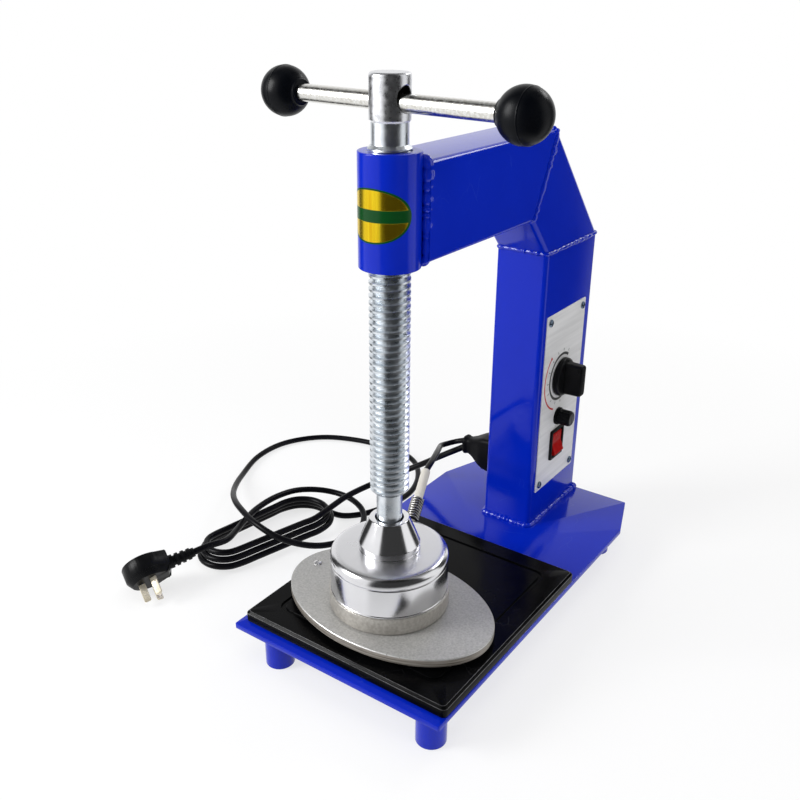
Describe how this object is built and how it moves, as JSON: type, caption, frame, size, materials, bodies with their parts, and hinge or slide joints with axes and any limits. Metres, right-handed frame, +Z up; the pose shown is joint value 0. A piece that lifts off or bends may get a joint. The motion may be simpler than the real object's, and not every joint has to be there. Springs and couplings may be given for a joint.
{
  "type": "tire vulcanizer",
  "caption": "Bench tire vulcanizer: C-frame screw press on a footed plate, ball-ended cross bar, heated oval shoe over a flat plate, side panel with timer, fuse and switch, mains cord.",
  "frame": {"origin": "middle of the object's footprint without its cord, on the plane that the feet stand on", "axes": "+Z up along the screw, +Y to the rear towards the column, +X towards the control panel"},
  "size_m": [0.4554, 0.3854, 0.463],
  "materials": {
    "blue_paint": "gloss paint",
    "black_paint": "semi-gloss paint",
    "zinc": "zinc plated",
    "panel_metal": "brushed",
    "black_plastic": "moulded",
    "knob_plastic": "polished",
    "fuse_glass": "clear",
    "red_plastic": "moulded",
    "cord_rubber": "satin",
    "pin_brass": "plain",
    "white_fibre": "woven fibre",
    "chrome": "polished",
    "heater_steel": "plain",
    "cast_aluminium": "sand cast"
  },
  "bodies": {
    "frame": {"base_plate": "blue_paint", "foot_front_left": "blue_paint", "foot_front_right": "blue_paint", "foot_rear_left": "blue_paint", "foot_rear_right": "blue_paint", "column": "blue_paint", "elbow": "blue_paint", "arm": "blue_paint", "sleeve": "blue_paint", "lower_plate": "black_paint", "plate_bolt_1": "zinc", "plate_bolt_2": "zinc", "plate_bolt_3": "zinc", "plate_bolt_4": "zinc", "panel_screw_1": "zinc", "panel_screw_2": "zinc", "panel_screw_3": "zinc", "panel_screw_4": "zinc", "control_panel": "panel_metal", "timer_body": "black_plastic", "fuse_holder": "black_plastic", "switch_housing": "black_plastic", "fuse_link": "fuse_glass", "cable_boot": "cord_rubber", "power_cord_lead": "cord_rubber", "power_cord_hank": "cord_rubber", "power_cord_loop": "cord_rubber", "plug_body": "cord_rubber", "heater_lead_cable": "cord_rubber", "plug_pin_1": "pin_brass", "plug_pin_2": "pin_brass", "plug_pin_3": "pin_brass"},
    "press_head": {"cone_cup": "chrome", "thrust_disc": "pin_brass", "heater_cap": "chrome", "insulation_pad": "white_fibre", "heater_disc": "heater_steel", "heater_block": "cast_aluminium", "press_shoe": "cast_aluminium", "shoe_screw": "zinc", "lead_spring": "zinc", "heater_lead_sleeve": "white_fibre"},
    "screw": {"lead_screw": "zinc", "screw_head": "zinc"},
    "handle": {"handle_bar": "chrome", "ball_knob_left": "knob_plastic", "ball_knob_right": "knob_plastic"},
    "timer_knob": {"timer_knob": "knob_plastic", "timer_spindle": "zinc"},
    "fuse_cap": {"fuse_cap": "black_plastic"},
    "switch_rocker": {"switch_rocker": "red_plastic"}
  },
  "joints": [
    {"name": "head_slide", "type": "slide", "parent": "frame", "child": "press_head", "axis": [0, 0, 1], "range_m": [-0.0043, 0.1], "deforming": ["heater_lead_sleeve", "heater_lead_cable"]},
    {"name": "screw_turn", "type": "hinge", "parent": "press_head", "child": "screw", "pos_m": [0, -0.108, 0.2], "axis": [0, 0, 1], "range_deg": [-309.6, 7200]},
    {"name": "handle_slide", "type": "slide", "parent": "screw", "child": "handle", "axis": [0.9962, -0.0872, 0], "range_m": [-0.0725, 0.0665]},
    {"name": "timer_turn", "type": "hinge", "parent": "frame", "child": "timer_knob", "pos_m": [0.026, 0.13, 0.179], "axis": [1, 0, 0], "range_deg": [-300, 0]},
    {"name": "fuse_cap_turn", "type": "hinge", "parent": "frame", "child": "fuse_cap", "pos_m": [0.026, 0.13, 0.138], "axis": [1, 0, 0], "range_deg": [0, 90]},
    {"name": "switch_rock", "type": "hinge", "parent": "frame", "child": "switch_rocker", "pos_m": [0.027, 0.13, 0.11], "axis": [0, 1, 0], "range_deg": [0, 20]}
  ],
  "couplings": [
    {"joint": "head_slide", "follows": "screw_turn", "m_per_rad": 0.00079577}
  ]
}
